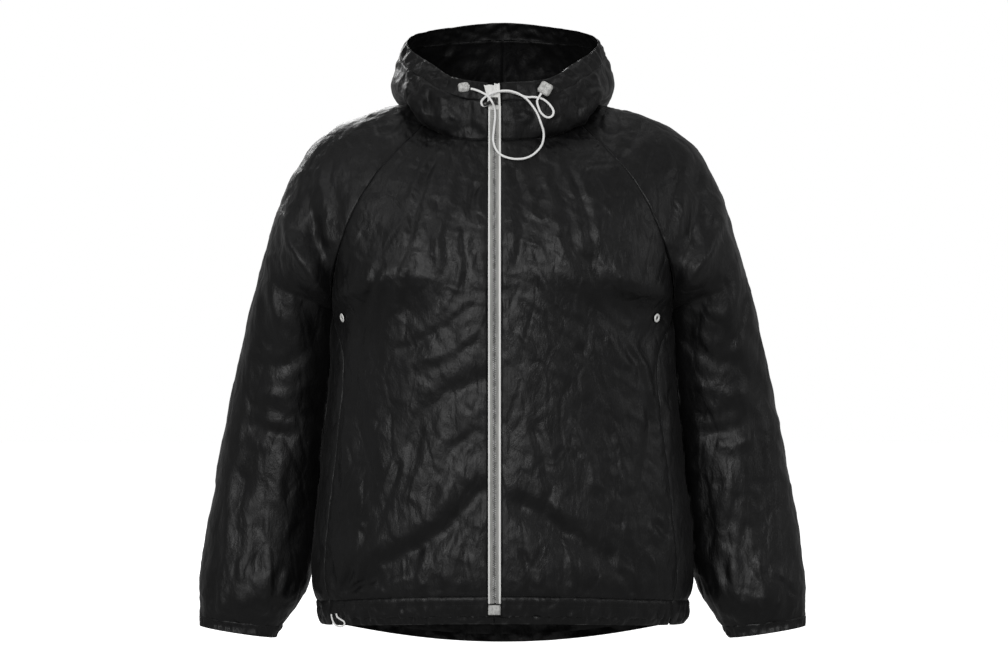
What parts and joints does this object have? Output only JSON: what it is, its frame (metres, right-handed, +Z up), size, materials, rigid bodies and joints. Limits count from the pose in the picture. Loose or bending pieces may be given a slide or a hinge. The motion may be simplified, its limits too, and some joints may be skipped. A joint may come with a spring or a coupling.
{
  "type": "hooded windbreaker jacket",
  "caption": "Hooded raglan-sleeve windbreaker with full front zip, drawcord hood and hem casing, filled out as if worn and open at neck, hem and cuffs.",
  "frame": {"origin": "middle of the neck base, level with where the hood meets the shoulders, where a body or a stand would hold the jacket", "axes": "+Z up, -Y the way the front faces, +X to the wearer's left"},
  "size_m": [0.831, 0.34, 0.8687],
  "materials": {
    "shell_fabric": "light crushed nylon with a soft sheen",
    "zip_tape": "woven polyester",
    "zip_coil": "moulded",
    "zip_box": "moulded",
    "slider_metal": "dark plated",
    "eyelet_metal": "bright plated",
    "cord": "braided elastic",
    "lock_plastic": "moulded"
  },
  "bodies": {
    "jacket": {"back": "shell_fabric", "cord_lock_left": "lock_plastic", "cord_lock_right": "lock_plastic", "cuff_left": "shell_fabric", "cuff_right": "shell_fabric", "eyelet_left": "eyelet_metal", "eyelet_right": "eyelet_metal", "front_left": "shell_fabric", "front_right": "shell_fabric", "hem_back": "shell_fabric", "hem_cord_loop": "cord", "hem_front_left": "shell_fabric", "hem_front_right": "shell_fabric", "hood_casing": "shell_fabric", "hood_cord": "cord", "hood_left": "shell_fabric", "hood_right": "shell_fabric", "sleeve_left": "shell_fabric", "sleeve_right": "shell_fabric", "zip_bottom_box": "zip_box", "zip_chain": "zip_coil", "zip_slider": "slider_metal", "zip_tape_left": "zip_tape", "zip_tape_right": "zip_tape"},
    "zip_pull": {"zip_pull": "slider_metal"}
  },
  "joints": [
    {"name": "zip_pull_swing", "type": "hinge", "parent": "jacket", "child": "zip_pull", "pos_m": [-0.0106, -0.09563, -0.00095], "axis": [-0.4472, 0.257, 0.8567], "range_deg": [0, 30]}
  ]
}
